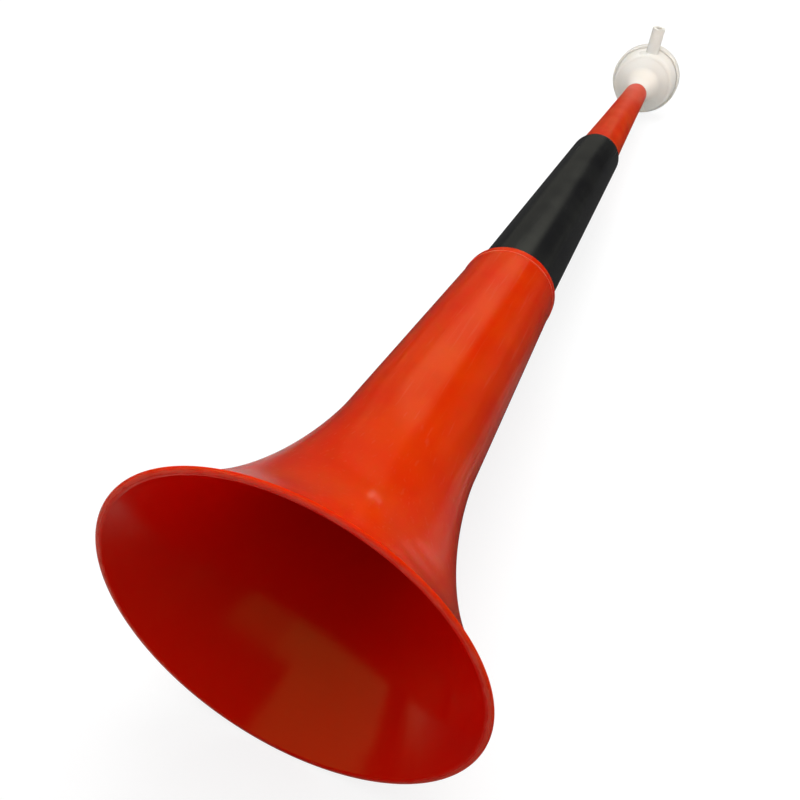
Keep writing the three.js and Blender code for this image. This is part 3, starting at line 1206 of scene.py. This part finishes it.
@dataclass(kw_only=True)
class Mouthpiece(SubAssembly):
    """The white drum moulding with its neck, spigot, chimney and blow tube, its film and its ring.

    Distances along are from the plane where the neck meets the top section's end. Each crease has
    the number of its waves round the film, where they start, and its size.
    """

    spigot_radius: float = 5.95
    spigot_length: float = 16.0
    spigot_bore: float = 4.6
    spigot_rounds: Triple = (0.5, 0.15, 0.3)
    gap: float = 0.3
    neck_radius: float = 7.3
    neck_length: float = 19.5
    neck_handle: float = 14.2
    neck_blend: float = 1.2
    neck_steps: int = 24
    face_radius: float = 11.6
    face_rise: float = 3.4
    face_wall: float = 1.8
    corner_radius: float = 20.4
    corner_round: float = 2.4
    corner_steps: int = 10
    drum_radius: float = 21.7
    drum_end: float = 38.9
    drum_wall: float = 1.7
    drum_rounds: tuple[float, float] = (0.4, 0.2)
    chimney_radius: float = 7.2
    chimney_bore: float = 5.6
    chimney_round: float = 0.4
    chamber_rounds: tuple[float, ...] = (0.5, 2.0, 1.2, 1.0, 0.0, 0.0)
    chamber_step: float = 4.0
    passage_round: float = 4.0
    passage_step: float = 6.0
    passage_segments: int = 96
    mouth_steps: int = 5
    tube_radius: float = 4.3
    tube_bore: float = 3.25
    tube_mouth: float = 0.3
    tube_reach: float = 37.2
    tube_fillet: float = 0.62
    tube_sink: float = 0.04
    tube_tip_round: float = 0.35
    tube_tip_steps: int = 6
    tube_place: float = 30.3
    tube_root: float = 1.0
    tube_rows: tuple[float, ...] = (0.02, 0.3, 0.6, 0.99, 1.0)
    tube_segments: int = 96
    tube_bore_segments: int = 64
    ring_start: float = 35.3
    ring_radius: float = 23.5
    ring_opening: float = 17.5
    ring_depth: float = 6.2
    ring_lip: float = 1.6
    ring_clearance: float = 0.1
    ring_rounds: tuple[float, ...] = (0.25, 0.7, 0.7, 0.5, 0.3, 0.2)
    ring_rubbed: tuple[float, float] = (1.2, 1.6)
    ring_step: float = 1.5
    ring_segments: int = 192
    film_thickness: float = 0.4
    film_skin: float = 0.16
    film_steps: int = 60
    film_segments: int = 240
    film_calm_radius: float = 4.0
    creases: tuple[tuple[int, float, float], ...] = (
        (5, 0.7, 0.45),
        (9, 2.1, 0.3),
        (14, 4.4, 0.25),
        (23, 1.2, 0.16),
    )
    crease_lift: float = 0.1
    crease_lean: float = 0.25
    crease_calm: float = 0.35
    rubbed_reach: float = 3.0
    rubbed_corner: float = 0.6
    segments: int = 160
    overrun: float = 2.0

    def build(self) -> list[bpy.types.Object]:
        """Builds and dresses the moulding, the film and the ring."""
        return [self._moulding(), self._film(), self._ring()]

    @property
    def _drum_start(self) -> float:
        """Distance along at which the drum's front corner ends and its side starts."""
        return self.neck_length + self.face_rise + self.corner_round

    def _outside_corners(self) -> list[Corner]:
        """Lists the corners of the moulding's outside, from the spigot's end to the drum's rim.

        Returns:
            The corners.
        """
        spigot_end = -self.gap - self.spigot_length
        face_slope = self.face_rise / (self.corner_radius - self.corner_round - self.face_radius)
        ends = (self.face_radius - self.neck_blend, self.face_radius + self.neck_blend)
        landing = [(end, self.neck_length + face_slope * (end - self.face_radius)) for end in ends]
        rising = [(self.neck_radius, 0.0), (self.neck_radius, self.neck_handle)]
        tip_round, root_round, neck_round = self.spigot_rounds
        side_round, rim_round = self.drum_rounds
        return [
            (0.0, spigot_end, 0.0),
            (self.spigot_radius, spigot_end, tip_round),
            (self.spigot_radius, 0.0, root_round),
            (self.neck_radius, 0.0, neck_round),
            *plainly(bezier([*rising, *landing], self.neck_steps)[1:]),
            *quarter(
                (self.corner_radius - self.corner_round, self._drum_start),
                (0.0, -self.corner_round),
                (self.corner_round, 0.0),
                self.corner_steps,
            ),
            (self.drum_radius, self.ring_start - self.gap, side_round),
            (self.drum_radius, self.drum_end, rim_round),
            (0.0, self.drum_end, 0.0),
        ]

    def _side_radius(self, along: float) -> float:
        """Gives the radius of the drum's outside, in the CAD's facets' circle.

        Args:
            along: Distance along at which it is wanted.

        Returns:
            The radius.
        """
        if along < self._drum_start:
            depth = min(1.0, (self._drum_start - along) / self.corner_round)
            radius = self.corner_radius - self.corner_round * (1 - math.sqrt(1 - depth**2))
        else:
            length = self.ring_start - self.gap - self._drum_start
            share = min(1.0, (along - self._drum_start) / length)
            radius = self.corner_radius + (self.drum_radius - self.corner_radius) * share
        return radius * FLAT_SHARE

    def _tube_rows(self) -> list[tuple[float, float, bool]]:
        """Lists the blow tube's rings of points, from inside the drum's wall to the tip.

        Returns:
            The radius of each ring, its height, and whether that counts from the drum's side.
        """
        wide = self.tube_radius + self.tube_fillet
        start = self.corner_radius - self.drum_wall - self.tube_root
        tip = self.tube_reach - self.tube_tip_round
        lift = self.drum_radius + self.tube_fillet
        fillet = quarter(
            (wide, self.tube_fillet - self.tube_sink), (0.0, -self.tube_fillet), (-self.tube_fillet, 0.0)
        )
        sides = [lift + (tip - lift) * share for share in self.tube_rows]
        tip_round = quarter(
            (self.tube_radius - self.tube_tip_round, tip),
            (self.tube_tip_round, 0.0),
            (0.0, self.tube_tip_round),
            self.tube_tip_steps,
        )
        return [
            (wide, start, False),
            *((radius, height, True) for radius, height, _ in fillet),
            *((self.tube_radius, height, False) for height in sides),
            *((radius, height, False) for radius, height, _ in tip_round[1:]),
        ]

    def _tube_solid(self) -> bpy.types.Mesh:
        """Makes the blow tube's outside, with a fillet that follows the drum's round side.

        Returns:
            A closed mesh in the piece's space.
        """
        rows, around = self._tube_rows(), self.tube_segments
        corners = []
        for radius, height, on_drum in rows:
            for step in range(around):
                angle = 2 * math.pi * step / around
                aside, along = radius * math.sin(angle), self.tube_place + radius * math.cos(angle)
                up = height
                if on_drum:
                    up += math.sqrt(self._side_radius(along) ** 2 - aside**2)
                corners.append((aside * MM, along * MM, up * MM))
        faces = []
        for row in range(len(rows) - 1):
            for step in range(around):
                near, far = row * around, (row + 1) * around
                following = (step + 1) % around
                faces.append((near + step, near + following, far + following, far + step))
        last = (len(rows) - 1) * around
        faces += [tuple(range(around)), tuple(range(last, last + around))]
        mesh = bpy.data.meshes.new("blow_tube")
        mesh.from_pydata(corners, [], faces)
        face_outwards(mesh, recalculated=True)
        return mesh

    def _tube_bore_solid(self) -> bpy.types.Mesh:
        """Makes the blow tube's bore, from the air chamber out through the tip's rounded mouth.

        Returns:
            A closed mesh in the piece's space.
        """
        start, end = (self.chimney_radius + self.corner_radius) / 2, self.tube_reach + self.overrun
        mouth = self.tube_mouth
        wide = self.tube_bore + mouth
        corners = [
            (0.0, start, 0.0),
            (self.tube_bore, start, 0.0),
            *quarter((wide, self.tube_reach - mouth), (-mouth, 0.0), (0.0, mouth), self.mouth_steps),
            (wide, end, 0.0),
            (0.0, end, 0.0),
        ]
        points = outlined(corners, False, self.passage_step)
        mesh = self.turning.turn("tube_bore", points, self.tube_bore_segments)
        stand = Matrix.Translation((0.0, self.tube_place * MM, 0.0))
        mesh.transform(stand @ Matrix.Rotation(QUARTER, 4, "X"))
        return mesh

    def _chamber_solid(self) -> bpy.types.Mesh:
        """Makes the ring-shaped air space round the chimney, open towards the film.

        Returns:
            A closed mesh in the piece's space.
        """
        floor, end = self.neck_length + self.face_wall, self.drum_end + self.overrun
        side = self.drum_radius - self.drum_wall
        places = [
            (self.chimney_radius, floor),
            (self.face_radius, floor),
            (self.corner_radius - self.drum_wall, floor + self.face_rise),
            (side, self.ring_start),
            (side, end),
            (self.chimney_radius, end),
        ]
        corners = [(*place, rounding) for place, rounding in zip(places, self.chamber_rounds)]
        points = outlined(corners, longest=self.chamber_step)
        return self.turning.turn("air_chamber", points, self.segments)

    def _passage_solid(self) -> bpy.types.Mesh:
        """Makes the way from the film down through the chimney, the neck and the spigot.

        Returns:
            A closed mesh in the piece's space.
        """
        start, end = -self.gap - self.spigot_length - self.overrun, self.drum_end + self.overrun
        mouth = self.chimney_round
        wide = self.chimney_bore + mouth
        corners = [
            (0.0, start, 0.0),
            (self.spigot_bore, start, 0.0),
            (self.spigot_bore, 0.0, self.passage_round),
            (self.chimney_bore, self.neck_length, self.passage_round),
            (self.chimney_bore, self.drum_end - mouth, 0.0),
            *quarter((wide, self.drum_end - mouth), (-mouth, 0.0), (0.0, mouth), self.mouth_steps),
            (wide, end, 0.0),
            (0.0, end, 0.0),
        ]
        points = outlined(corners, False, self.passage_step)
        return self.turning.turn("air_passage", points, self.passage_segments)

    def _moulding(self) -> bpy.types.Object:
        """Joins and cuts the moulding's solids, and dresses it.

        Returns:
            The piece.
        """
        points = outlined(self._outside_corners(), closed=False)
        mesh = self.turning.turn("mouthpiece_body", points, self.segments)
        mesh = combined(mesh, self._tube_solid(), "UNION")
        for cut in (self._chamber_solid(), self._passage_solid(), self._tube_bore_solid()):
            mesh = combined(mesh, cut, "DIFFERENCE")
        mesh.name = "mouthpiece_body"
        self._mark_wear(mesh)
        white = self.finishes.white
        return self.settled("mouthpiece_body", mesh, Body.MOUTHPIECE, Slot.WHITE, white, sharp_from=28.0)

    def _mark_wear(self, mesh: bpy.types.Mesh) -> None:
        """Marks the blow tube's tip and the drum's front corner as rubbed.

        Args:
            mesh: The moulding's mesh in the piece's space.
        """
        worn = []
        corner = self.neck_length + self.face_rise
        for vertex in mesh.vertices:
            aside, along, up = (part / MM for part in vertex.co)
            radius = math.hypot(aside, up)
            tip = 1 - (self.tube_reach - up) / self.rubbed_reach
            edge = 1 - math.hypot(radius - self.corner_radius, along - corner) / self.rubbed_reach
            worn.append(min(1.0, max(0.0, tip, self.rubbed_corner * edge)))
        old = mesh.attributes.get("wear")
        if old:
            mesh.attributes.remove(old)
        mesh.attributes.new("wear", "FLOAT", "POINT").data.foreach_set("value", worn)

    def _film(self) -> bpy.types.Object:
        """Makes the film over the drum, with slack creases that run in from the ring.

        Returns:
            The piece.
        """
        edge, calm, opening = self.drum_radius, self.film_calm_radius, self.ring_opening
        middle, half_skin = self.film_thickness / 2, self.film_skin / 2
        radii = [edge * step / self.film_steps for step in range(self.film_steps + 1)]
        under = [(radius, middle - half_skin) for radius in radii]
        over = [(radius, middle + half_skin) for radius in reversed(radii)]
        film = self.finishes.film
        mesh = self.turning.turn("membrane", [*under, *over], self.film_segments, film)
        worn = []
        for vertex in mesh.vertices:
            aside, up = vertex.co.x / MM, vertex.co.z / MM
            radius, angle = math.hypot(aside, up), math.atan2(aside, up)
            slack = max(0.0, min(1.0, (radius - calm) / (opening - calm)))
            held = max(0.0, min(1.0, (edge - radius) / (edge - opening)))
            wave = sum(
                size * math.sin(count * angle + start + self.crease_lean * radius / count)
                for count, start, size in self.creases
            )
            vertex.co.y += self.crease_lift * wave * slack * held * MM
            worn.append(min(1.0, max(0.0, abs(wave) * slack - self.crease_calm)))
        mesh.attributes["wear"].data.foreach_set("value", worn)
        place = self.drum_end + self.gap
        return self.settled("membrane", mesh, Body.MOUTHPIECE, Slot.FILM, film, distance=place)

    def _ring(self) -> bpy.types.Object:
        """Makes the ring that clamps the film on the drum's rim.

        Returns:
            The piece.
        """
        skirt, outer, opening = self.drum_radius + self.ring_clearance, self.ring_radius, self.ring_opening
        top, inner = self.ring_depth, self.ring_depth - self.ring_lip
        radii = (skirt, outer, outer, opening, opening, skirt)
        corners = list(zip(radii, (0.0, 0.0, top, top, inner, inner), self.ring_rounds))
        points = outlined(corners, longest=self.ring_step)
        edges = [(outer, along, reach) for along, reach in zip((0.0, top), self.ring_rubbed)]
        white = self.finishes.white
        worn = wear_near(points, edges)
        mesh = self.turning.turn("clamp_ring", points, self.ring_segments, white, wear=worn)
        place = self.ring_start
        return self.settled("clamp_ring", mesh, Body.MOUTHPIECE, Slot.WHITE, white, distance=place)


# Studio


@dataclass(frozen=True)
class PhotoCamera:
    """The camera that took the photograph, found by fitting the horn's outlines to it.

    Attributes:
        place: Where it stands, in millimetres in the row frame.
        aim: A point that it looks at.
        roll: Its turn about its own line of sight, in degrees.
        lens: Focal length in millimetres.
        sensor: Width of the sensor in millimetres.
        clip: Nearest and furthest distance that it sees, in metres.
    """

    place: Triple = (61.603, -362.282, 262.955)
    aim: Triple = (-27.845, -113.718, 7.414)
    roll: float = 5.9644
    lens: float = 37.2419
    sensor: float = 36.0
    clip: tuple[float, float] = (0.01, 50.0)

    def set_up(self) -> None:
        """Makes the scene's camera."""
        data = bpy.data.cameras.new("photo_camera")
        data.sensor_width = self.sensor
        data.lens = self.lens
        data.clip_start, data.clip_end = self.clip
        camera = stood_in_scene(bpy.data.objects.new("photo_camera", data))
        place, aim = Vector(self.place) * MM, Vector(self.aim) * MM
        level = (aim - place).to_track_quat("-Z", "Y").to_matrix()
        turned = level @ Matrix.Rotation(math.radians(self.roll), 3, "Z")
        camera.matrix_world = Matrix.Translation(place) @ turned.to_4x4()
        bpy.context.scene.camera = camera


@dataclass(frozen=True)
class SoftBox:
    """A soft lamp, which the horn's gloss doesn't show.

    Attributes:
        name: Its name.
        place: Where it hangs, in metres.
        aim: What it points at, in metres.
        size: Width and height, in metres.
        power: Its power, in watts.
        spread: Angle of its beam, in degrees.
    """

    name: str
    place: Triple
    aim: Triple
    size: tuple[float, float]
    power: float
    spread: float = 180.0

    def hang(self) -> None:
        """Makes the lamp."""
        data = bpy.data.lights.new(self.name, "AREA")
        data.shape = "RECTANGLE"
        data.size, data.size_y = self.size
        data.energy = self.power
        data.spread = math.radians(self.spread)
        lamp = stood_in_scene(bpy.data.objects.new(self.name, data))
        lamp.visible_glossy = False
        lamp.location = self.place
        lamp.rotation_euler = (Vector(self.aim) - Vector(self.place)).to_track_quat("-Z", "Y").to_euler()


@dataclass(frozen=True)
class Panel:
    """A paler patch of the room, which shows only in the horn's gloss.

    Attributes:
        level: Its brightness, where 1 is white.
        aside: From where to where it reaches along X, as parts of a direction of length 1.
        ahead: The same along Y.
        up: The same along Z.
        softness: Half the width of its soft edge.
    """

    level: float
    aside: tuple[float, float]
    ahead: tuple[float, float]
    up: tuple[float, float]
    softness: float

    def wire(self, wiring: Wiring, direction: bpy.types.Node) -> Level:
        """Makes the patch's nodes.

        Args:
            wiring: The world's tree.
            direction: The node that splits the direction looked in.

        Returns:
            The patch's brightness in that direction.
        """
        level: Level = self.level
        for axis, ends in zip("XYZ", (self.aside, self.ahead, self.up)):
            for edge, shown in zip(ends, ((0.0, 1.0), (1.0, 0.0))):
                if abs(edge) > 1:
                    continue
                band = (edge - self.softness, edge + self.softness)
                grade = wiring.graded(direction.outputs[axis], band, shown, "SMOOTHSTEP")
                level = wiring.math("MULTIPLY", grade, level)
        return level


@dataclass(frozen=True)
class Pool:
    """A painted pool of light on the floor, which shows only in the horn's gloss as a reflection.

    Attributes:
        level: The floor's grey in its middle.
        middle: Its middle, in metres.
        reach: Distances from the middle between which it fades, in metres.
        streaks: Scale of the streaks across it, or 0 for a plain pool.
        bend: How much the streaks bend.
        streak_range: The wave's values between which a gap turns into a streak.
    """

    level: float
    middle: Triple
    reach: tuple[float, float]
    streaks: float = 0.0
    bend: float = 1.5
    streak_range: tuple[float, float] = (0.1, 0.4)

    def wire(self, wiring: Wiring, place: Socket) -> Socket:
        """Makes the pool's nodes.

        Args:
            wiring: The floor's tree.
            place: The place on the floor.

        Returns:
            The pool's grey at that place.
        """
        apart = wiring.node("ShaderNodeVectorMath", {0: place, 1: self.middle}, operation="DISTANCE")
        grey = wiring.graded(apart.outputs["Value"], self.reach, (self.level, 0.0), "SMOOTHSTEP")
        if not self.streaks:
            return grey
        waves = {"Vector": place, "Scale": self.streaks, "Distortion": self.bend, "Detail": 1.0}
        bands = wiring.node("ShaderNodeTexWave", waves).outputs["Fac"]
        return wiring.math("MULTIPLY", grey, wiring.graded(bands, self.streak_range, (0.0, 1.0)))


@dataclass(frozen=True)
class Studio:
    """The pale floor, the white surroundings and the soft lamps.

    Attributes:
        floor_reach: Half the floor's width, in metres.
        floor_colour: Grey of the floor as it is lit.
        floor_glow: Share of white that the floor adds for the camera near the horn.
        floor_fade: Distances from the horn between which that share grows to white, in metres.
        gloss_floor: Grey of the floor in the horn's gloss.
        pools: Painted pools of light in it, on the horn's left and right, seen only in gloss.
        shade_level: Brightness of the surroundings as a light.
        dim_level: Brightness of the room in gloss, away from its panels.
        room_tint: Colour of the room in gloss.
        panels: Paler patches of the room in gloss.
        lamps: The soft lamps.
    """

    floor_reach: float = 6.0
    floor_colour: float = 0.22
    floor_glow: float = 0.82
    floor_fade: tuple[float, float] = (0.45, 1.5)
    gloss_floor: float = 0.05
    # Painted pools of light on the floor, seen only in gloss, which paint reflections on the bell.
    pools: tuple[Pool, ...] = (
        Pool(0.36, (-0.12, -0.22, 0.0), (0.07, 0.155)),
        Pool(0.22, (0.09, -0.08, 0.0), (0.03, 0.1), streaks=12.0),
    )
    shade_level: float = 0.22
    dim_level: float = 0.02
    room_tint: tuple[float, float, float, float] = (1.0, 1.0, 0.85, 1.0)
    panels: tuple[Panel, ...] = (
        Panel(0.62, aside=(-0.6, 0.14), ahead=(0.0, 2.0), up=(0.36, 0.75), softness=0.09),
        Panel(0.14, aside=(-0.75, 0.04), ahead=(0.0, 2.0), up=(-0.1, 0.36), softness=0.07),
        Panel(0.12, aside=(0.42, 0.9), ahead=(0.0, 2.0), up=(-0.3, 0.6), softness=0.08),
        Panel(0.34, aside=(-2.0, 0.3), ahead=(-0.5, -0.15), up=(0.2, 2.0), softness=0.05),
        Panel(0.2, aside=(0.2, 0.84), ahead=(-0.5, -0.2), up=(0.4, 2.0), softness=0.07),
        Panel(0.36, aside=(-2.0, 0.0), ahead=(-2.0, -0.45), up=(0.18, 2.0), softness=0.04),
    )
    lamps: tuple[SoftBox, ...] = (
        SoftBox("top_softbox", (-0.14, 0.06, 1.15), (0.0, 0.06, 0.05), (1.3, 0.8), 6.6),
        SoftBox("near_softbox", (-0.14, 0.0, 0.72), (0.0, 0.12, 0.05), (0.4, 0.4), 1.9),
        SoftBox("front_softbox", (-0.2, -1.3, 0.2), (0.0, 0.0, 0.05), (0.8, 0.38), 2.2),
        SoftBox("side_softbox", (0.95, 0.4, 0.35), (0.03, -0.1, 0.05), (0.6, 0.6), 4.5),
        SoftBox("back_softbox", (-0.35, 1.2, 0.8), (0.0, -0.15, 0.05), (0.8, 0.5), 5.0),
        SoftBox("drum_softbox", (0.4, -0.12, 0.12), (0.0, 0.262, 0.045), (0.2, 0.2), 0.037, 22.0),
        SoftBox("drum_fill", (-0.42, -0.16, 0.14), (0.0, 0.262, 0.045), (0.2, 0.2), 0.037, 22.0),
    )

    def set_up(self) -> None:
        """Lays the floor, lights the world and hangs the lamps."""
        self._floor()
        self._surroundings()
        for lamp in self.lamps:
            lamp.hang()

    @staticmethod
    def _rays(wiring: Wiring) -> tuple[Socket, Socket]:
        """Sorts the rays that reach the floor or the surroundings.

        Args:
            wiring: The tree that asks.

        Returns:
            A 1 for rays from the camera or through something clear, and a 1 for rays in gloss.
        """
        rays = wiring.node("ShaderNodeLightPath").outputs
        seen = wiring.math("MAXIMUM", rays["Is Camera Ray"], rays["Is Transmission Ray"])
        return seen, rays["Is Glossy Ray"]

    def _floor(self) -> None:
        """Lays the floor, which is white to the camera and keeps the horn's shadow."""
        mesh = bpy.data.meshes.new("floor")
        signs = ((-1, -1), (1, -1), (1, 1), (-1, 1))
        corners = [(x * self.floor_reach, y * self.floor_reach, 0.0) for x, y in signs]
        mesh.from_pydata(corners, [], [(0, 1, 2, 3)])
        stood_in_scene(bpy.data.objects.new("floor", mesh))
        material = bpy.data.materials.new("pale_floor")
        mesh.materials.append(material)
        wiring = Wiring.emptied(material)
        seen, glossy = self._rays(wiring)
        place = wiring.node("ShaderNodeTexCoord").outputs["Object"]
        distance = wiring.node("ShaderNodeVectorMath", {0: place}, operation="LENGTH").outputs["Value"]
        white = wiring.graded(distance, self.floor_fade, (self.floor_glow, 1.0), "SMOOTHSTEP")
        # Painted pools of light, seen only in gloss, paint reflections on the horn.
        pooled: Level = self.gloss_floor
        for pool in self.pools:
            pooled = wiring.math("MAXIMUM", pool.wire(wiring, place), pooled)
        grey = wiring.graded(glossy, (0.0, 1.0), (self.floor_colour, pooled))
        matt = wiring.node("ShaderNodeBsdfDiffuse", {"Color": grey}).outputs[0]
        glow = wiring.math("MULTIPLY", seen, white)
        light = wiring.node("ShaderNodeEmission", {"Strength": glow}).outputs[0]
        both = wiring.node("ShaderNodeAddShader", {0: matt, 1: light}).outputs[0]
        wiring.node("ShaderNodeOutputMaterial", {"Surface": both})

    def _surroundings(self) -> None:
        """Makes the world white to the camera, a dim room in gloss, and an even soft light."""
        world = bpy.data.worlds.new("white_surroundings")
        bpy.context.scene.world = world
        wiring = Wiring.emptied(world)
        seen, glossy = self._rays(wiring)
        looked_in = wiring.node("ShaderNodeTexCoord").outputs["Generated"]
        direction = wiring.node("ShaderNodeSeparateXYZ", {0: looked_in})
        room: Level = self.dim_level
        for panel in self.panels:
            room = wiring.math("MAXIMUM", panel.wire(wiring, direction), room)
        light = wiring.graded(glossy, (0.0, 1.0), (self.shade_level, room))
        level = wiring.graded(seen, (0.0, 1.0), (light, 1.0))
        tint = wiring.mixed(glossy, (1.0, 1.0, 1.0, 1.0), self.room_tint)
        background = wiring.node("ShaderNodeBackground", {"Color": tint, "Strength": level})
        wiring.node("ShaderNodeOutputWorld", {"Surface": background.outputs[0]})


def main() -> None:
    """Builds the horn, piece by piece, and its studio."""
    logging.basicConfig(level=logging.INFO, format="%(name)s: %(message)s")
    lie = HornLie.from_joints(frame["joints"], MOUTHPIECE_START)
    shared = {"lie": lie, "turning": TurningTree(), "finishes": Finishes.for_horn(lie)}
    bpy.context.scene.view_settings.view_transform = "Standard"
    PhotoCamera().set_up()
    BellSection(**shared).build()
    MiddleSection(**shared, origin=MIDDLE_START).build()
    TopSection(**shared, origin=TOP_START).build()
    Mouthpiece(**shared, origin=MOUTHPIECE_START).build()
    Studio().set_up()


if __name__ == "__main__":
    main()
